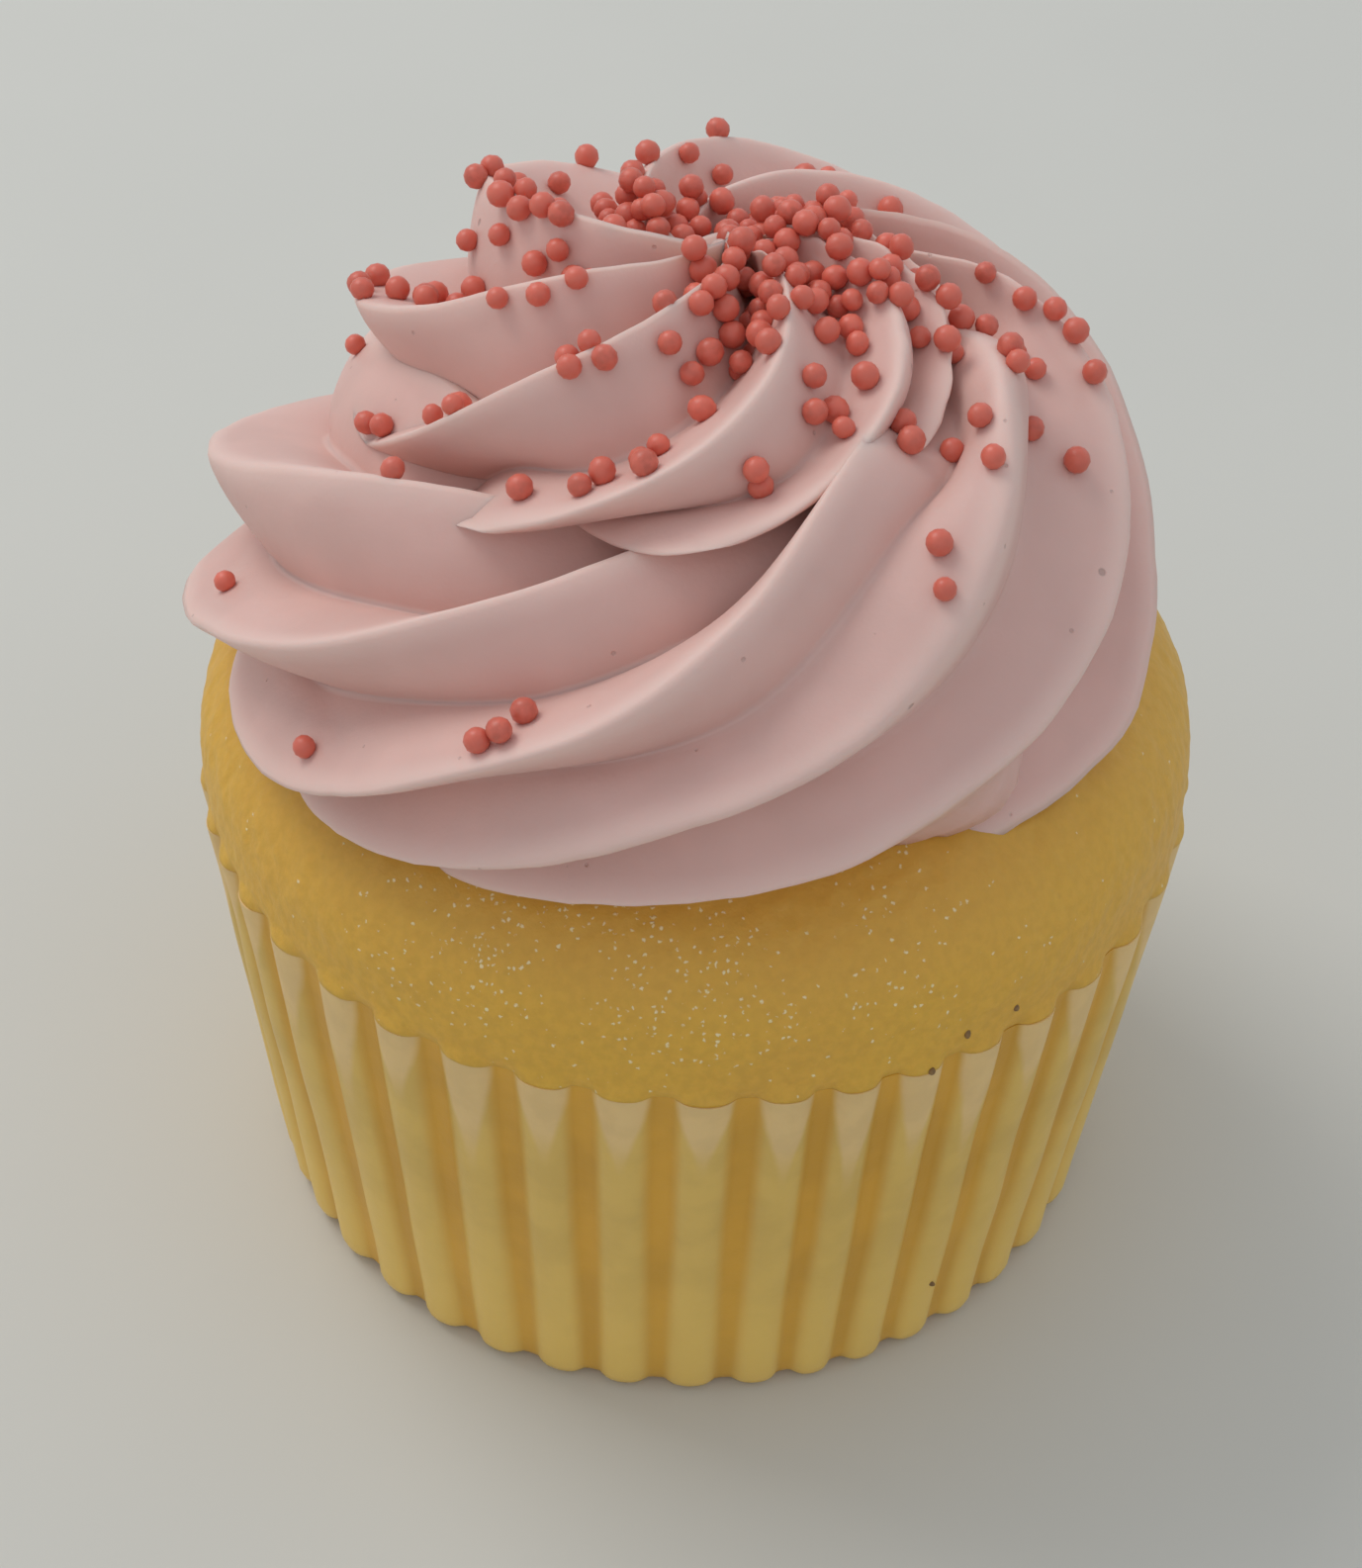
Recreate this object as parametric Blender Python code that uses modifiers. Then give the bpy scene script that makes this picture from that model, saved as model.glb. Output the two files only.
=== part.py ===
"""A frosted cupcake: a pleated paper case, a domed sponge cake and one piped swirl of frosting.

The origin is the middle of the flat underside, +Z is up, and the piping starts and ends where the
angles below say, counted anticlockwise from +X as seen from above.
"""
import math

import bmesh
import bpy
import numpy as np

MM = 0.001

# Paper case
CASE_HEIGHT = 34.0 * MM
CASE_FLOOR_RADIUS = 28.8 * MM
CASE_FOOT_RADIUS = 30.3 * MM
CASE_FOOT_HEIGHT = 1.2 * MM
CASE_RIM_RADIUS = 35.0 * MM
PAPER_THICKNESS = 0.35 * MM
PLEATS = 42
FIRST_PLEAT = math.radians(-87.0)
PLEAT_DRIFT = math.radians(2.2)
PLEAT_DEPTH_AT_FOOT = 0.45 * MM
PLEAT_DEPTH_AT_RIM = 0.95 * MM
# One pleat across: share of its width, and share of its depth
PLEAT_PROFILE = ((0.0, 0.9), (0.14, 1.0), (0.28, 0.9), (0.46, -0.85), (0.64, -1.0), (0.82, -0.85))

# Cake
GAP = 0.3 * MM
CAKE_FLOOR_RADIUS = 28.4 * MM
CAKE_RIM_RADIUS = 33.2 * MM
CAKE_CHEEK_HEIGHT = 38.0 * MM
CAKE_TOP = 50.0 * MM
CAKE_DOME_POWER = 2.4
CAKE_DOME_STEPS = 8
CAKE_SEGMENTS = 64

# Frosting: one rope with a star-shaped section, piped in a spiral of two turns.
# Each station: azimuth in degrees, then the section's outer and inner reach, underside and top in mm.
ROPE_STATIONS = (
    (80, 27.5, 19.5, 45.5, 49.5),
    (95, 30.5, 16.0, 44.0, 52.0),
    (120, 32.8, 9.0, 42.0, 55.5),
    (150, 33.6, 5.0, 40.5, 59.7),
    (200, 33.4, 7.0, 41.5, 64.3),
    (250, 32.8, 9.5, 43.5, 67.3),
    (300, 31.6, 11.0, 42.5, 73.0),
    (350, 29.9, 8.0, 41.0, 71.8),
    (400, 29.0, 2.5, 43.5, 70.0),
    (450, 28.8, -1.0, 47.0, 71.3),
    (500, 27.8, -4.0, 48.7, 72.4),
    (550, 24.4, -6.5, 49.8, 74.2),
    (600, 20.2, -7.0, 53.0, 75.4),
    (650, 18.7, -5.0, 58.0, 75.6),
    (700, 15.0, -1.0, 61.0, 75.0),
    (760, 9.0, 1.0, 64.5, 74.0),
    (820, 4.0, 3.0, 68.0, 71.0),
)
ROPE_CENTRE_AT_START = (-0.8 * MM, -1.0 * MM)
ROPE_CENTRE_AT_END = (0.6 * MM, 0.75 * MM)
CENTRE_SHIFT_AZIMUTHS = (250.0, 600.0)
# The star's teeth: the azimuth in degrees at which each one crosses the outside of the rope, how much
# of the trail below it keeps under the rope, and where the groove lies on the way to the next tooth.
TEETH = (
    (5, 0.45, 0.47),
    (45, 0.6, 0.47),
    (77, 0.8, 0.47),
    (109, 1.0, 0.47),
    (155, 1.0, 0.6),
    (195.5, 1.0, 0.45),
    (243, 1.0, 0.47),
    (275, 1.0, 0.47),
    (316, 0.9, 0.5),
    (343, 0.5, 0.5),
)
# How far each tooth trails along the rope at each angle round its section, in degrees
TRAIL = (
    (-180, -184),
    (-135, -148),
    (-90, -107),
    (-60, -72),
    (-30, -26),
    (0, 0),
    (30, 26),
    (60, 43),
    (90, 63),
    (120, 96),
    (150, 147),
    (180, 176),
)
SHORT_TRAIL_ANGLES = (-110.0, -60.0)
TOOTH_DEPTH = 0.44
TOOTH_LEAN = 0.25
TOOTH_ROUNDNESS = 0.25
POINTS_PER_TOOTH = 6
ROPE_STEPS = 110
FROSTING_VOXEL = 0.8 * MM
FROSTING_KEPT_FACES = 0.075


def clear_scene():
    for thing in list(bpy.data.objects):
        bpy.data.objects.remove(thing, do_unlink=True)


def make_material(name, colour, roughness):
    material = bpy.data.materials.new(name)
    material.use_nodes = True
    shader = material.node_tree.nodes["Principled BSDF"]
    shader.inputs["Base Color"].default_value = (*colour, 1.0)
    shader.inputs["Roughness"].default_value = roughness
    shader.inputs["Metallic"].default_value = 0.0
    return material


def make_object(name, mesh, collection, material=None):
    thing = bpy.data.objects.new(name, mesh)
    collection.objects.link(thing)
    if material:
        thing.data.materials.append(material)
    return thing


def ease(t):
    """Turn a straight ramp from 0 to 1 into one that starts and ends level."""
    t = np.clip(t, 0.0, 1.0)
    return t * t * (3 - 2 * t)


def smooth_track(places, values, wanted):
    """Read a smooth curve through stations: a cubic Hermite whose slopes join the neighbours."""
    slopes = np.gradient(values, places)
    index = np.clip(np.searchsorted(places, wanted) - 1, 0, len(places) - 2)
    span = places[index + 1] - places[index]
    t = np.clip((wanted - places[index]) / span, 0.0, 1.0)
    from_left = (1 + 2 * t) * (1 - t) ** 2 * values[index] + t * (1 - t) ** 2 * span * slopes[index]
    from_right = ease(t) * values[index + 1] - t * t * (1 - t) * span * slopes[index + 1]
    return from_left + from_right


def pleat_column(number, across):
    """The azimuth of one column of the case; the pleats crowd and spread slightly round it."""
    turn = 2 * math.pi * (number + across) / PLEATS
    return FIRST_PLEAT + turn - PLEAT_DRIFT * (1 - math.cos(2 * turn))


def add_ring(bm, radius, height, pleat_depth):
    ring = []
    for number in range(PLEATS):
        for across, depth in PLEAT_PROFILE:
            azimuth = pleat_column(number, across)
            reach = radius + depth * pleat_depth
            ring.append(bm.verts.new((reach * math.cos(azimuth), reach * math.sin(azimuth), height)))
    return ring


def make_paper_case(collection):
    """Loft a flat floor, a turned-up foot and a pleated wall, and give the sheet its thickness."""
    bm = bmesh.new()
    rings = [
        add_ring(bm, CASE_FLOOR_RADIUS, 0.0, 0.0),
        add_ring(bm, CASE_FOOT_RADIUS, CASE_FOOT_HEIGHT, PLEAT_DEPTH_AT_FOOT),
        add_ring(bm, CASE_RIM_RADIUS, CASE_HEIGHT, PLEAT_DEPTH_AT_RIM),
    ]
    bm.faces.new(reversed(rings[0]))
    for lower, upper in zip(rings, rings[1:]):
        for i in range(len(lower)):
            j = (i + 1) % len(lower)
            bm.faces.new((lower[i], lower[j], upper[j], upper[i]))
    mesh = bpy.data.meshes.new("paper_case")
    bm.to_mesh(mesh)
    bm.free()
    paper = make_material("oiled_paper", (0.62, 0.50, 0.22), 0.55)
    case = make_object("paper_case", mesh, collection, paper)
    wall = case.modifiers.new("Paper thickness", "SOLIDIFY")
    wall.thickness = PAPER_THICKNESS
    wall.offset = -1.0
    return case


def cake_profile(clearance):
    """The cake's outline from its top down to the middle of its floor, grown by a clearance."""
    outline = []
    rise = CAKE_TOP - CAKE_CHEEK_HEIGHT
    for step in range(CAKE_DOME_STEPS + 1):
        angle = 0.5 * math.pi * step / CAKE_DOME_STEPS
        reach = (CAKE_RIM_RADIUS + clearance) * math.sin(angle) ** (2 / CAKE_DOME_POWER)
        height = CAKE_CHEEK_HEIGHT + (rise + clearance) * math.cos(angle) ** (2 / CAKE_DOME_POWER)
        outline.append((reach, height))
    floor = PAPER_THICKNESS + GAP - clearance
    outline.append((CAKE_RIM_RADIUS + clearance, CASE_HEIGHT - GAP))
    outline.append((CAKE_FLOOR_RADIUS + clearance, floor + CASE_FOOT_HEIGHT))
    outline.append((CAKE_FLOOR_RADIUS - CASE_FOOT_HEIGHT + clearance, floor))
    outline.append((0.0, floor))
    return outline


def turn_profile(name, outline, collection, material=None):
    """Turn an outline, listed from the top down, about the Z axis."""
    bm = bmesh.new()
    points = [bm.verts.new((reach, 0.0, height)) for reach, height in outline]
    for upper, lower in zip(points, points[1:]):
        bm.edges.new((upper, lower))
    mesh = bpy.data.meshes.new(name)
    bm.to_mesh(mesh)
    bm.free()
    turned = make_object(name, mesh, collection, material)
    screw = turned.modifiers.new("Turn", "SCREW")
    screw.steps = CAKE_SEGMENTS
    screw.render_steps = CAKE_SEGMENTS
    screw.use_merge_vertices = True
    screw.merge_threshold = 0.00001
    return turned


def star_columns():
    """List the points round the star: tooth azimuth, depth below the crests, and share of the trail."""
    columns = []
    for number, (crest, trail, groove) in enumerate(TEETH):
        following, next_trail, _ = TEETH[(number + 1) % len(TEETH)]
        gap = (following - crest) % 360.0
        width = np.clip(gap * len(TEETH) / 360.0, 0.6, 1.35)
        for step in range(POINTS_PER_TOOTH):
            x = step / POINTS_PER_TOOTH
            fall = x / groove if x < groove else (1 - x) / (1 - groove)
            fall += TOOTH_ROUNDNESS * (math.sin(0.5 * math.pi * fall) - fall)
            columns.append((crest + gap * x, fall * width, trail + (next_trail - trail) * ease(x)))
    return np.array(columns).T


def section_angles(azimuths, teeth, trails):
    """Find the angle round the section at which each column of the star crosses each azimuth."""
    places, values = np.array(TRAIL, float).T
    angles = np.linspace(places[0], places[-1], 721)
    full_trail = smooth_track(places, values, angles)
    start, end = SHORT_TRAIL_ANGLES
    below = ease((angles - start) / (end - start)) * (angles < 0.0)
    crossings = []
    for tooth, trail in zip(teeth, trails):
        trailed = full_trail * (1 - (1 - trail) * below)
        lag = (azimuths - tooth - trailed[0]) % 360.0 + trailed[0]
        crossings.append(np.interp(lag, trailed, angles))
    return np.radians(np.array(crossings).T)


def rope_surface():
    """Carry the star section along the spiral, as a grid of points: steps by columns.

    The section is an ellipse. Its teeth are cut inwards along the ellipse's normal, and their crests
    lean round the section towards the top.
    """
    teeth, depths, trails = star_columns()
    stations = np.array(ROPE_STATIONS, float)
    azimuths = np.linspace(stations[0, 0], stations[-1, 0], ROPE_STEPS)
    reach_out, reach_in, under, top = (
        smooth_track(stations[:, 0], stations[:, k] * MM, azimuths)[:, None] for k in range(1, 5)
    )
    half_width = 0.5 * (reach_out - reach_in)
    half_height = 0.5 * (top - under)
    angle = section_angles(azimuths, teeth, trails)
    out = np.cos(angle) / half_width
    up = np.sin(angle) / half_height
    out, up = out / np.hypot(out, up), up / np.hypot(out, up)
    cut = TOOTH_DEPTH * np.minimum(half_width, half_height)
    inset = depths * cut
    lean = TOOTH_LEAN * cut * np.clip(1 - depths, 0.0, 1.0) ** 2
    reach = 0.5 * (reach_out + reach_in) + half_width * np.cos(angle) - inset * out - lean * up
    height = 0.5 * (top + under) + half_height * np.sin(angle) - inset * up + lean * out
    first, last = CENTRE_SHIFT_AZIMUTHS
    shift = ease((azimuths[:, None] - first) / (last - first))
    centre_x = ROPE_CENTRE_AT_START[0] * (1 - shift) + ROPE_CENTRE_AT_END[0] * shift
    centre_y = ROPE_CENTRE_AT_START[1] * (1 - shift) + ROPE_CENTRE_AT_END[1] * shift
    turn = np.radians(azimuths)[:, None]
    return np.stack([centre_x + reach * np.cos(turn), centre_y + reach * np.sin(turn), height], axis=-1)


def make_frosting(collection, cutter):
    """Skin the rope, fuse its turns into one body, and seat it on the cake."""
    grid = rope_surface()
    steps, columns = grid.shape[:2]
    bm = bmesh.new()
    rings = [[bm.verts.new(point) for point in ring] for ring in grid.tolist()]
    for near, far in zip(rings, rings[1:]):
        for i in range(columns):
            j = (i + 1) % columns
            bm.faces.new((near[i], near[j], far[j], far[i]))
    bm.faces.new(reversed(rings[0]))
    bm.faces.new(rings[-1])
    bmesh.ops.recalc_face_normals(bm, faces=bm.faces)
    mesh = bpy.data.meshes.new("frosting")
    bm.to_mesh(mesh)
    bm.free()
    frosting = make_object("frosting", mesh, collection, make_material("pink_cream", (0.60, 0.36, 0.35), 0.6))
    fuse = frosting.modifiers.new("Fuse the turns", "REMESH")
    fuse.mode = "VOXEL"
    fuse.voxel_size = FROSTING_VOXEL
    thin = frosting.modifiers.new("Fewer faces", "DECIMATE")
    thin.ratio = FROSTING_KEPT_FACES
    seat = frosting.modifiers.new("Seat on the cake", "BOOLEAN")
    seat.operation = "DIFFERENCE"
    seat.object = cutter
    return frosting


def main():
    clear_scene()
    parts = bpy.data.collections.new("cupcake")
    cutters = bpy.data.collections.new("cutters")
    for collection in (parts, cutters):
        bpy.context.scene.collection.children.link(collection)
    make_paper_case(parts)
    crumb = make_material("yellow_sponge", (0.55, 0.33, 0.05), 0.8)
    turn_profile("cake", cake_profile(0.0), parts, crumb)
    cutter = turn_profile("cake_clearance", cake_profile(GAP), cutters)
    cutter.hide_render = True
    cutter.display_type = "WIRE"
    make_frosting(parts, cutter)


main()
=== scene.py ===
"""The looks of a frosted cupcake: pleated paper case, moist sponge, piped swirl and red sugar beads.

Every length is in metres, +Z is up and the front of the cupcake faces -Y.
"""
import math

import bpy
import numpy as np
from bpy.props import FloatProperty, FloatVectorProperty, IntProperty, PointerProperty
from mathutils import Matrix, Vector
from mathutils.bvhtree import BVHTree


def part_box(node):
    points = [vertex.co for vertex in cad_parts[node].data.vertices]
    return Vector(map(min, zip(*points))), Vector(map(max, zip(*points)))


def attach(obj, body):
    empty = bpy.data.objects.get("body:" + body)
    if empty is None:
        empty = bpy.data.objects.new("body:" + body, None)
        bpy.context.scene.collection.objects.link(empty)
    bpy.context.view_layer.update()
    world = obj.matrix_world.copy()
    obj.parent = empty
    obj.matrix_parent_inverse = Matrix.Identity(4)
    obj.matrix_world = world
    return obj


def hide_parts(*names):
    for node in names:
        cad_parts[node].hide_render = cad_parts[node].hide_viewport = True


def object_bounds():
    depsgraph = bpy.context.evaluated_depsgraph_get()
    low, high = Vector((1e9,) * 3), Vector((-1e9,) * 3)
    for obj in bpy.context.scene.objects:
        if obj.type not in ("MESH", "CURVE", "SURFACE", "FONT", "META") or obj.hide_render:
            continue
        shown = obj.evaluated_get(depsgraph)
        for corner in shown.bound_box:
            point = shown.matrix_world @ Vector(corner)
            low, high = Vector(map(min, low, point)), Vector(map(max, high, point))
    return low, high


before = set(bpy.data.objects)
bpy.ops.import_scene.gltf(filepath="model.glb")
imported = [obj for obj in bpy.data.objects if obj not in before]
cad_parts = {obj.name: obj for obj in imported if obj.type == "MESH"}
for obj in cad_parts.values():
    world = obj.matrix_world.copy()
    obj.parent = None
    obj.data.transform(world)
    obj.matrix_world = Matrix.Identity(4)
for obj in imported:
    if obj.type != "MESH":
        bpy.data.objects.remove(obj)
CAD_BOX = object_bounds()
CASE_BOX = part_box("paper_case")
CAKE_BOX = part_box("cake")

bl_info = {
    "name": "Frosted Cupcake",
    "version": (1, 0, 0),
    "blender": (4, 5, 0),
    "location": "3D View > Sidebar > Cupcake",
    "description": "Builds a cupcake in a pleated paper case with a piped swirl and sugar beads",
    "category": "Add Mesh",
}

MM = 0.001
TAU = 2 * math.pi
BODY = "root"
# The colour sockets of a Mix node
MIX_FIRST, MIX_SECOND, MIX_RESULT = 6, 7, 2
WHITE, BLACK = (1, 1, 1, 1), (0, 0, 0, 1)
# Finishes: roughness and specular level, then the weight, radius and scale of light under the surface
PAPER_FINISH = (0.5, 0.35, 0.15, (1, 0.7, 0.3), 1 * MM)
SPONGE_FINISH = (0.5, 0.4, 0.2, (1, 0.55, 0.15), 1.5 * MM)
CREAM_FINISH = (0.5, 0.35, 0.25, (1, 0.5, 0.4), 1.5 * MM)
BEAD_FINISH = (0.38, 0.45, 0.3, (1, 0.25, 0.15), 0.6 * MM)
# Reliefs: scale of the coarse and the fine noise, share of the fine one, height and strength
PAPER_RELIEF = (900, 4000, 0.6, 0.05 * MM, 0.5)
SPONGE_RELIEF = (1100, 3200, 0.8, 0.07 * MM, 0.6)
CREAM_RELIEF = (450, 2600, 0.45, 0.06 * MM, 0.6)
BEAD_RELIEF = (1800, 6000, 0.5, 0.04 * MM, 0.5)

# Paper case: distance from the middle of a ridge in shares of a pitch, and how far the paper stands out
# there, from 1 on the ridge to -1 in the valley
PLEAT_PLACES = (0.0, 0.10, 0.20, 0.28, 0.33, 0.37, 0.42, 0.50)
PLEAT_REACHES = (1.0, 0.92, 0.62, 0.10, -0.45, -0.85, -0.98, -1.0)
# Ridges at the front, in degrees from the front with right positive; the rest are evenly spread
FRONT_RIDGES = (
    -80, -72, -66, -59, -51, -41.5, -33, -24, -15, -6.5, 2.5, 11.5, 19, 26.5, 34, 42, 50, 59, 68, 77, 86,
)
COLUMNS_PER_PLEAT = 16
# The floor's and the foot's rows, as shares of the case's height, and how far the foot's curl in
FOOT_RISES = (0.0, 0.0, 0.006, 0.02)
FOOT_CURLS = (0.6 * MM, 0.15 * MM)
WALL_FROM = 0.04
WALL_ROWS = 34
CRUMPLE_LENGTH = 11 * MM
CRUMPLE_DEPTH = 0.1 * MM
# A ramp is where it starts and ends and, unless it runs from 0 to 1, its value at either end. Paper:
# where a ridge's colour gives way to the valley's, in shares of a pitch from the middle of the ridge
RIDGE_EDGE = (0.22, 0.40, 1.0, 0.0)
# How far below the rim the paper turns paler, and how much of that it does across a pleat
PALER_BELOW = (12 * MM, 32 * MM)
PALER_ACROSS = (0.25, 0.45, 0.75, 0.15)
# A dry patch: half width in shares of a pitch along its length, the soft edge, and where its tip fades
PATCH_WIDTHS = (0.0, 1.0, 0.36, 0.08)
PATCH_WANDER = 0.05
PATCH_EDGE = (0.0, 0.10)
PATCH_TIP = (0.5, 1.1, 1.0, 0.0)
DRY_ROUGHNESS = (0.0, 1.0, 0.42, 0.65)

# Sponge: power of the dome's superellipse, and its rows from the top to the rim, in degrees
DOME_POWER = 2.4
DOME_ANGLES = (*np.linspace(4, 40, 10), *np.linspace(42, 90, 48))
# How far above the rim the sponge spreads over the paper's edge, and its gap to the paper below that
PAPER_COVER = 0.4 * MM
PAPER_GAP = 0.05 * MM
FOOT_HEIGHT = 0.7 * MM
FOOT_ROUNDING = 1.2 * MM
# The wall's rows: from below the cheek to below the rim, then from further below it to the bottom
CHEEK_DROP = 0.4 * MM
RIM_DROPS = (0.8 * MM, 1.6 * MM)
WALL_BOTTOM = 2 * MM
CHEEK_ROWS = 18
LOW_ROWS = 20
# Unevenness: wavelength of the swells and their height in mm, wavelengths of the grain, how far both are
# sunk, and the heights over which they grow and turn upwards
SWELLS = (12 * MM, 0.18)
GRAIN_LENGTHS = (2.2 * MM, 1.1 * MM)
LIFT_MEAN = 0.15 * MM
FREE_OVER = 3 * MM
LIFT_TURNS_FROM = 36 * MM
LIFT_TURNS_OVER = 12 * MM
# The ramps of the painted glint highlights: from the front to the back, outwards from a middle, upwards,
# and by patches
GLINT_DEPTHS = (-29 * MM, -17 * MM, 1.0, 0.03)
GLINT_OFFSET = 1 * MM
GLINT_WIDTHS = (7 * MM, 24 * MM, 1.0, 0.12)
GLINT_HEIGHTS = (35.5 * MM, 41 * MM, 0.10, 1.0)
GLINT_PATCHES = (0.32, 0.55)
MOST_GLINTS = 0.60
LEAST_GLINTS = 0.010
GLINT_ROUGHNESS = (0.0, 1.0, 0.5, 0.12)
# The crumb turns browner towards the top of the dome: the ramp by height and its share at either end
BROWNER_UPWARDS = (37 * MM, 46 * MM, 0.0, 0.55)
GLINT_BEND = (0.4 * MM, 0.4 * MM, 0.4 * MM)

# Frosting: stations along the rope. Each is its azimuth in degrees, then the section's outer and inner
# reach, underside, waist and top, and the depth of its teeth, all in mm
ROPE_STATIONS = (
    (80, 27.5, 19.5, 45.5, 47.5, 49.5, 0.9),
    (95, 30.5, 16, 44, 48, 52, 1.8),
    (120, 32.8, 9, 42, 48.7, 55.5, 3),
    (150, 33.6, 5, 40.5, 50.6, 60.7, 4.2),
    (175, 33.6, 6, 41, 52, 65, 4.7),
    (200, 33.2, 7, 41.5, 51.8, 66.5, 5),
    (225, 33, 8, 42.3, 52.7, 66, 5.1),
    (250, 32.8, 9.5, 43.6, 55.9, 66, 5.1),
    (275, 32.3, 10.5, 44.2, 56.6, 68.2, 5),
    (300, 31.6, 11, 43.3, 55.3, 72, 4.9),
    (325, 30.8, 9.8, 43.4, 52, 72.4, 5.2),
    (350, 30.6, 8, 42.6, 50.2, 71.8, 5.6),
    (400, 29, 2.5, 43.5, 57.5, 70.5, 5.8),
    (450, 28.8, -1, 47, 61, 71.8, 5.3),
    (475, 27.4, -2.5, 48.5, 63, 73.2, 5.3),
    (500, 25.6, -4, 50.5, 63.5, 74.3, 5.2),
    (530, 25.4, -6, 54, 61.8, 75.2, 5.2),
    (550, 22.4, -6.5, 56, 60.4, 75.6, 5.2),
    (571, 22.8, -7, 58, 61.6, 75.6, 5.2),
    (590, 22.9, -7, 59.8, 65.2, 75.6, 5.2),
    (603, 23.1, -7, 60.5, 66, 75.6, 5),
    (623, 23, -6.5, 61.5, 67.8, 75.6, 4.8),
    (640, 22.2, -5.5, 62, 68.6, 75.6, 4.5),
    (660, 20, -4.5, 62.5, 69.6, 75.5, 3.8),
    (700, 16, -1, 64, 70.2, 75, 3),
    (760, 10.5, 1, 66, 70.4, 74, 1.8),
    (820, 4, 3, 68, 69.5, 71, 0.2),
)
ROPE_CENTRES = ((-0.8 * MM, -1.0 * MM), (0.6 * MM, 0.75 * MM))
CENTRE_SHIFT_AZIMUTHS = (250.0, 600.0)
# The superellipse power of the underside by azimuth: above 2 it bulges, pressed on the cake
BELLY = ((0, 2.0), (290, 2.0), (325, 2.2), (360, 2.3), (400, 2.0), (500, 2.0), (540, 1.4), (900, 1.3))
# The star's teeth: the azimuth at which each crosses the outside of the rope in the lower and the upper
# turn, how much of the trail it and the groove after it keep below the waist, how much it keeps above it
# in each turn, how round its crest is, and where that groove lies on the way to the next tooth
TEETH = (
    (-15, -8, 0.48, 0.40, 1, 1, 0.10, 0.5),
    (10, 15, 0.28, 0.35, 1, 1, 0.30, 0.47),
    (37, 45, 0.42, 0.58, 1, 1, 0.06, 0.5),
    (100, 100, 0.75, 0.88, 1, 1, 0.04, 0.5),
    (153, 149, 1, 1, 1, 1, 0.04, 0.6),
    (196, 188, 1, 1, 0.88, 0.97, 0.05, 0.45),
    (237, 234, 1, 1, 0.80, 0.98, 0.08, 0.47),
    (270, 272, 1, 0.95, 0.96, 1.22, 0.22, 0.47),
    (303, 314, 0.9, 0.2, 1.2, 1, 0.08, 0.76),
)
TURN_CHANGE_AZIMUTHS = (400.0, 500.0)
# A small fold low on the front right: azimuth and half width in degrees, height as a share of the teeth's
# depth, the angles round the section between which it grows, and the angle where it ends
FOLD = (323.0, 4.0, 0.50)
FOLD_ANGLES = (-10.0, -40.0)
FOLD_END = -126.0
# Where the end of the upper turn fills the grooves beside it: azimuth, half width in degrees, share, and
# the angles round the section between which that grows
FILLED = (343.0, 17.0, 0.85)
FILLED_ANGLES = (60.0, 100.0)
# In the upper turn the crests die out under the rope: angles round its section, and where that begins
TUCK_ANGLES = (-6.0, -48.0)
TUCK_AZIMUTHS = (480.0, 520.0)
# How far each tooth trails along the rope at each angle round its section, in degrees
TRAIL = (
    (-180, -184), (-135, -148), (-90, -107), (-60, -72), (-30, -27), (0, 0),
    (30, 29), (60, 50), (90, 71), (120, 102), (150, 147), (180, 176),
)
# Between these angles a tooth's own share of the trail eases in, below the waist and above it
LOW_SHARE_ANGLES = (-110.0, -60.0)
HIGH_SHARE_ANGLES = (180.0, 120.0)
TRAIL_STEPS = 1441
# How much of a quarter sine a tooth's sides have, its points and how they crowd at the crests, and the
# least and most that a narrow or wide tooth's depth is scaled by
TOOTH_ROUNDNESS = 0.25
POINTS_PER_TOOTH = 26
CROWDING = 0.1
DEPTH_SCALES = (0.6, 1.35)
ROPE_STEPS = 380
TORN_AZIMUTHS = (650.0, 730.0)
# Unevenness of the whole rope, of its torn end and of its crests: wavelength, height and seed
ROPE_WAVES = ((9 * MM, 0.1 * MM, 21), (1.6 * MM, 0.25 * MM, 22), (3 * MM, 0.06 * MM, 23))
SEAT_DEPTH = 0.6 * MM
# The painted highlight along the crests, and how faint the small holes are, how dark their painted shade is
# and how deep a hole is
CREST_HIGHLIGHT_EDGE = (0.72, 1.0, 0.0, 0.8)
SMALL_HOLE_SHARE = 0.6
HOLE_SHADE = 0.55
HOLE_DEPTH = -3.0

# Beads and crumbs
BEAD_SIZES = (0.88, 1.12)
BEAD_STRETCHES = (0.95, 1.05)
CRUMB_STRETCHES = (0.6, 1.2)
# How high a bead's centre lies over the cream and how near two beads come, as shares of their radii, how
# often a bead may roll on, and how far other beads may hold it up before it rolls or is left out
BEAD_SEAT = 0.7
BEAD_TOUCH = 0.93
BEAD_ROLLS = 12
SETTLED_LIFT = 0.6
MOST_LIFT = 1.6

# Stage
WINDOW_PLACE = (-0.45, 0.30, 0.75)
WINDOW_AIM = (0, 0, 0.04)
WINDOW_SIZE = 0.45
WINDOW_COLOUR = (1.0, 0.98, 0.95)
SKY_COLOUR = (0.86, 0.93, 1.0, 1.0)
TABLE_CORNERS = ((-2, -2, 0), (2, -2, 0), (2, 2, 0), (-2, 2, 0))
SENSOR_MM = 36.0
LENS_MM = 72.1
NEAREST_SEEN = 0.01
CAMERA_AIM_HEIGHT = 20 * MM
CAMERA_TURNS = ((2.2, "Z"), (1.842, "X"), (0.166, "Y"))


# ---------------- settings


def length(name, description, default):
    """A length that the user may change."""
    return FloatProperty(name=name, description=description, default=default, unit="LENGTH")


def number(name, description, default):
    """A plain number that the user may change."""
    return FloatProperty(name=name, description=description, default=default)


def tint(name, description, *default):
    """A colour that the user may change."""
    return FloatVectorProperty(name=name, description=description, default=default, subtype="COLOR")


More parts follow.
